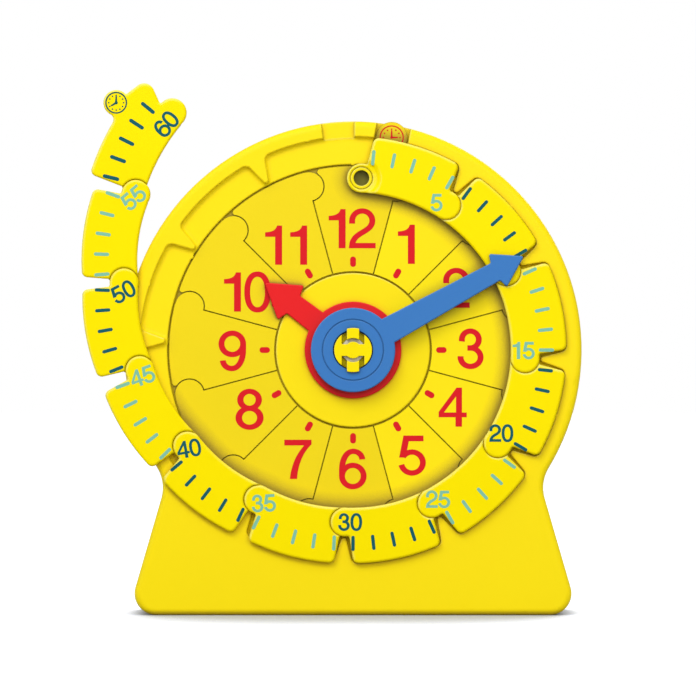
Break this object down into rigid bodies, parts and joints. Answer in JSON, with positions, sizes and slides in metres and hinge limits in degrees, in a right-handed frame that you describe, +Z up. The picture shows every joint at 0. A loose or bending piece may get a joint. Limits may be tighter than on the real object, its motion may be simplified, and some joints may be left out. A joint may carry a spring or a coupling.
{
  "type": "geared teaching clock",
  "caption": "Round demonstration clock on a flared stand with hinged hour tiles, geared hour and minute hands and a fold-out minute number line of hinged links.",
  "frame": {"origin": "on the base, under the dial axis, in the middle of the stand's width", "axes": "+Z up, the dial faces -Y, +X to the viewer's right"},
  "size_m": [0.3472, 0.075, 0.3692],
  "materials": {
    "housing_yellow": "satin",
    "tile_yellow": "satin",
    "link_yellow": "satin",
    "post_yellow": "satin",
    "hour_red": "gloss",
    "minute_blue": "gloss",
    "gear_plastic": "satin",
    "core_plastic": "satin",
    "screw_steel": "zinc plated"
  },
  "bodies": {
    "housing": {"front_housing": "housing_yellow", "rear_cover": "housing_yellow", "cover_screws": "screw_steel", "post_core": "core_plastic", "idler_axle": "screw_steel", "number_line_stud": "housing_yellow", "center_post": "post_yellow", "hour_tile_01": "tile_yellow", "hour_tile_02": "tile_yellow", "hour_tile_03": "tile_yellow", "hour_tile_04": "tile_yellow", "hour_tile_05": "tile_yellow", "hour_tile_06": "tile_yellow", "hour_tile_07": "tile_yellow", "hour_tile_08": "tile_yellow", "hour_tile_09": "tile_yellow", "hour_tile_10": "tile_yellow", "hour_tile_11": "tile_yellow", "hour_tile_12": "tile_yellow"},
    "minute_hand": {"minute_hand": "minute_blue", "minute_pinion": "gear_plastic"},
    "idler": {"idler_gear": "gear_plastic"},
    "hour_hand": {"hour_hand": "hour_red", "hour_wheel": "gear_plastic"},
    "link_05": {"minute_link_05": "link_yellow"},
    "link_10": {"minute_link_10": "link_yellow"},
    "link_15": {"minute_link_15": "link_yellow"},
    "link_20": {"minute_link_20": "link_yellow"},
    "link_25": {"minute_link_25": "link_yellow"},
    "link_30": {"minute_link_30": "link_yellow"},
    "link_35": {"minute_link_35": "link_yellow"},
    "link_40": {"minute_link_40": "link_yellow"},
    "link_45": {"minute_link_45": "link_yellow"},
    "link_50": {"minute_link_50": "link_yellow"},
    "link_55": {"minute_link_55": "link_yellow"},
    "link_60": {"minute_link_60": "link_yellow"}
  },
  "joints": [
    {"name": "minute_spin", "type": "hinge", "parent": "housing", "child": "minute_hand", "pos_m": [0, -0.0224, 0.1843], "axis": [0, 1, 0], "continuous": true},
    {"name": "idler_spin", "type": "hinge", "parent": "housing", "child": "idler", "pos_m": [0, -0.0224, 0.1363], "axis": [0, 1, 0], "continuous": true},
    {"name": "hour_spin", "type": "hinge", "parent": "housing", "child": "hour_hand", "pos_m": [0, -0.0224, 0.1843], "axis": [0, 1, 0], "continuous": true},
    {"name": "link_05_hinge", "type": "hinge", "parent": "housing", "child": "link_05", "pos_m": [0.00583, -0.0252, 0.30356], "axis": [0, -1, 0], "range_deg": [0, 32]},
    {"name": "link_10_hinge", "type": "hinge", "parent": "link_05", "child": "link_10", "pos_m": [0.06468, -0.0252, 0.28466], "axis": [0, -1, 0], "range_deg": [0, 30]},
    {"name": "link_15_hinge", "type": "hinge", "parent": "link_10", "child": "link_15", "pos_m": [0.1062, -0.0252, 0.23888], "axis": [0, -1, 0], "range_deg": [0, 30]},
    {"name": "link_20_hinge", "type": "hinge", "parent": "link_15", "child": "link_20", "pos_m": [0.11926, -0.0252, 0.17847], "axis": [0, -1, 0], "range_deg": [0, 30]},
    {"name": "link_25_hinge", "type": "hinge", "parent": "link_20", "child": "link_25", "pos_m": [0.10036, -0.0252, 0.11962], "axis": [0, -1, 0], "range_deg": [0, 30]},
    {"name": "link_30_hinge", "type": "hinge", "parent": "link_25", "child": "link_30", "pos_m": [0.05458, -0.0252, 0.0781], "axis": [0, -1, 0], "range_deg": [0, 30]},
    {"name": "link_35_hinge", "type": "hinge", "parent": "link_30", "child": "link_35", "pos_m": [-0.00583, -0.0252, 0.06504], "axis": [0, -1, 0], "range_deg": [-3.2, 26.8]},
    {"name": "link_40_hinge", "type": "hinge", "parent": "link_35", "child": "link_40", "pos_m": [-0.06564, -0.0252, 0.08062], "axis": [0, -1, 0], "range_deg": [-7.4, 22.6]},
    {"name": "link_45_hinge", "type": "hinge", "parent": "link_40", "child": "link_45", "pos_m": [-0.11487, -0.0252, 0.11799], "axis": [0, -1, 0], "range_deg": [-9.4, 20.6]},
    {"name": "link_50_hinge", "type": "hinge", "parent": "link_45", "child": "link_50", "pos_m": [-0.14781, -0.0252, 0.17029], "axis": [0, -1, 0], "range_deg": [-8, 22]},
    {"name": "link_55_hinge", "type": "hinge", "parent": "link_50", "child": "link_55", "pos_m": [-0.15875, -0.0252, 0.23112], "axis": [0, -1, 0], "range_deg": [-12.2, 17.8]},
    {"name": "link_60_hinge", "type": "hinge", "parent": "link_55", "child": "link_60", "pos_m": [-0.15058, -0.0252, 0.29238], "axis": [0, -1, 0], "range_deg": [-13.5, 16.5]}
  ],
  "couplings": [
    {"joint": "idler_spin", "follows": "minute_spin", "ratio": -0.33333},
    {"joint": "hour_spin", "follows": "minute_spin", "ratio": 0.083333}
  ]
}
